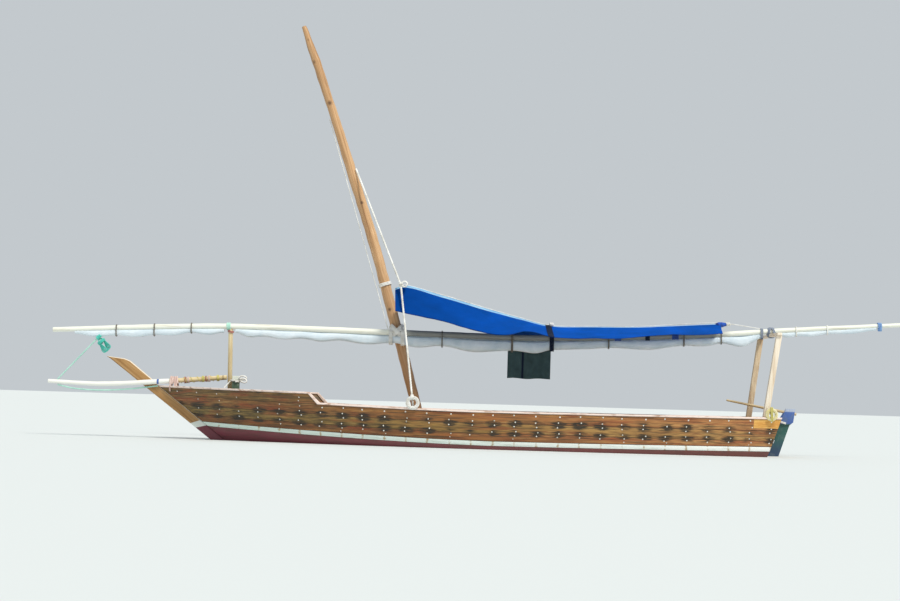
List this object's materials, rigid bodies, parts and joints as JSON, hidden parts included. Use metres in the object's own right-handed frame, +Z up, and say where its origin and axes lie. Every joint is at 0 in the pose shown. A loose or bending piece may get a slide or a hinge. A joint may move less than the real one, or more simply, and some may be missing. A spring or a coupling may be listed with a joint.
{
  "type": "dhow sailing boat",
  "caption": "Wooden dhow with a forward-raked mast, a long yard laid on crutches with its sail furled, a blue awning and a stern-hung rudder.",
  "frame": {"origin": "on the centreline at the waterline, 5.2 m ahead of the transom", "axes": "+X aft towards the stern, +Y to starboard, +Z up"},
  "size_m": [14.6338, 2.8416, 7.7889],
  "materials": {
    "hull_wood": "oiled planks, weathered",
    "bow_wood": "oiled planks, weathered darker",
    "cap_wood": "pale worn paint",
    "bottom_paint": "maroon paint",
    "stripe_paint": "white paint",
    "stem_wood": "golden brown oiled timber",
    "inner_wood": "bare weathered timber",
    "mast_wood": "round pole, bark removed, oiled",
    "pole_paint": "round pole, worn cream paint",
    "post_wood": "pale squared timber",
    "bow_post_wood": "round pole, bare",
    "rudder_paint": "dark teal paint",
    "sail_cloth": "cotton canvas",
    "awning_cloth": "woven tarpaulin",
    "curtain_cloth": "woven cloth",
    "white_rope": "laid rope",
    "teal_rope": "laid rope",
    "iron": "galvanised, weathered"
  },
  "bodies": {
    "hull": {"bottom_planking_port": "bottom_paint", "boot_stripe_port": "stripe_paint", "topside_strake_1_port": "hull_wood", "topside_strake_2_port": "hull_wood", "topside_strake_3_port": "hull_wood", "bow_bulwark_port": "bow_wood", "cap_rail_port": "cap_wood", "side_bench_port": "inner_wood", "stern_post_port": "post_wood", "bottom_planking_starboard": "bottom_paint", "boot_stripe_starboard": "stripe_paint", "topside_strake_1_starboard": "hull_wood", "topside_strake_2_starboard": "hull_wood", "topside_strake_3_starboard": "hull_wood", "bow_bulwark_starboard": "bow_wood", "cap_rail_starboard": "cap_wood", "side_bench_starboard": "inner_wood", "stern_post_starboard": "post_wood", "stem": "stem_wood", "keel": "bottom_paint", "sternpost": "rudder_paint", "transom": "hull_wood", "transom_cap": "cap_wood", "ribs": "inner_wood", "foredeck": "inner_wood", "aft_deck": "inner_wood", "floor_boards": "inner_wood", "mast_beam": "inner_wood", "mast_step": "inner_wood", "thwart_1": "inner_wood", "thwart_2": "inner_wood", "mast": "mast_wood", "yard": "pole_paint", "bowsprit": "pole_paint", "furled_sail_fore": "sail_cloth", "furled_sail_middle": "sail_cloth", "furled_sail_aft": "sail_cloth", "bow_post": "bow_post_wood", "bollard": "rudder_paint", "stern_cross_beam": "post_wood", "awning": "awning_cloth", "side_curtain": "curtain_cloth", "backstay": "white_rope", "halyard": "white_rope", "ridge_rope": "white_rope", "bow_line_upper": "teal_rope", "bow_line_lower": "teal_rope", "rope_coil": "white_rope", "gudgeon_1": "iron", "gudgeon_2": "iron"},
    "rudder": {"rudder": "rudder_paint", "tiller": "post_wood"}
  },
  "joints": [
    {"name": "rudder_turn", "type": "hinge", "parent": "hull", "child": "rudder", "pos_m": [5.351, 0, 0], "axis": [0.2961, 0, 0.9552], "range_deg": [-35, 35]}
  ]
}
